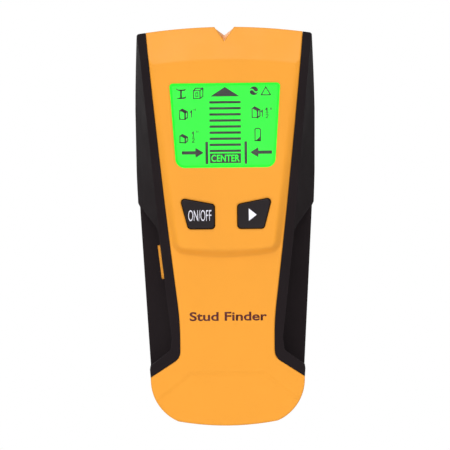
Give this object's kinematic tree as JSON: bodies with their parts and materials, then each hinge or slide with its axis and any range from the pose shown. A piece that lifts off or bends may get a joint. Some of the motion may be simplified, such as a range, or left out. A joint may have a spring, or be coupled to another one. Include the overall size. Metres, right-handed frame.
{
  "type": "stud finder",
  "caption": "Handheld electronic wall scanner with a display window, sprung keys, side grips, a pencil notch and a sliding battery door.",
  "frame": {"origin": "centre of the flat sensing face at the back, halfway along the tool", "axes": "+X to the right as the display is read, +Y into the wall, out of the flat sensing face, +Z along the tool towards the pencil notch"},
  "size_m": [0.074, 0.033, 0.1636],
  "materials": {
    "orange_abs": "fine texture",
    "grip_rubber": "matte",
    "black_abs": "fine texture",
    "key_plastic": "satin",
    "clear_window": "gloss",
    "display_glass": "gloss",
    "light_guide": "gloss",
    "frame_plastic": "satin",
    "contact_rubber": "matte",
    "board": "satin",
    "chip_plastic": "matte",
    "component_ceramic": "satin",
    "trimmer_plastic": "satin",
    "buzzer_plastic": "satin",
    "pin_metal": "bright",
    "copper": "satin",
    "copper_wire": "gloss",
    "bobbin_plastic": "matte",
    "plunger_plastic": "satin",
    "switch_plastic": "satin",
    "battery_skin": "gloss",
    "battery_plate": "matte",
    "steel": "bright",
    "snap_vinyl": "matte",
    "red_insulation": "satin",
    "black_insulation": "satin"
  },
  "bodies": {
    "housing": {"front_shell": "orange_abs", "left_grip": "grip_rubber", "right_grip": "grip_rubber", "rear_shell": "black_abs", "lcd_window": "clear_window", "lcd_glass": "display_glass", "lcd_backlight": "light_guide", "lcd_frame": "frame_plastic", "zebra_strip": "contact_rubber", "main_pcb": "board", "main_chips": "chip_plastic", "small_components": "component_ceramic", "trimmer": "trimmer_plastic", "buzzer": "buzzer_plastic", "header_strip": "chip_plastic", "header_pins": "pin_metal", "sensor_pcb": "board", "sensor_plates": "copper", "coil_bobbin": "bobbin_plastic", "sensor_coil": "copper_wire", "mode_switch": "switch_plastic", "power_switch": "switch_plastic", "scan_switch": "switch_plastic", "side_pcb": "board", "battery_case": "battery_skin", "battery_top": "battery_plate", "battery_terminals": "steel", "battery_snap": "snap_vinyl", "snap_contacts": "steel", "red_lead": "red_insulation", "black_lead": "black_insulation", "case_screws": "steel", "board_screws": "steel"},
    "power_key": {"power_key_cap": "key_plastic", "power_plunger": "plunger_plastic"},
    "mode_key": {"mode_key_cap": "key_plastic", "mode_plunger": "plunger_plastic"},
    "scan_key": {"scan_key_cap": "orange_abs", "scan_plunger": "plunger_plastic"},
    "battery_door": {"battery_door": "black_abs"}
  },
  "joints": [
    {"name": "power_key_press", "type": "slide", "parent": "housing", "child": "power_key", "axis": [0, 1, 0], "range_m": [0, 0.0008], "stiffness_N_per_m": 150},
    {"name": "mode_key_press", "type": "slide", "parent": "housing", "child": "mode_key", "axis": [0, 1, 0], "range_m": [0, 0.0008], "stiffness_N_per_m": 150},
    {"name": "scan_key_press", "type": "slide", "parent": "housing", "child": "scan_key", "axis": [0.9932, 0, 0.1161], "range_m": [0, 0.0008], "stiffness_N_per_m": 150},
    {"name": "battery_door_slide", "type": "slide", "parent": "housing", "child": "battery_door", "axis": [0, 0, -1], "range_m": [0, 0.06]}
  ]
}
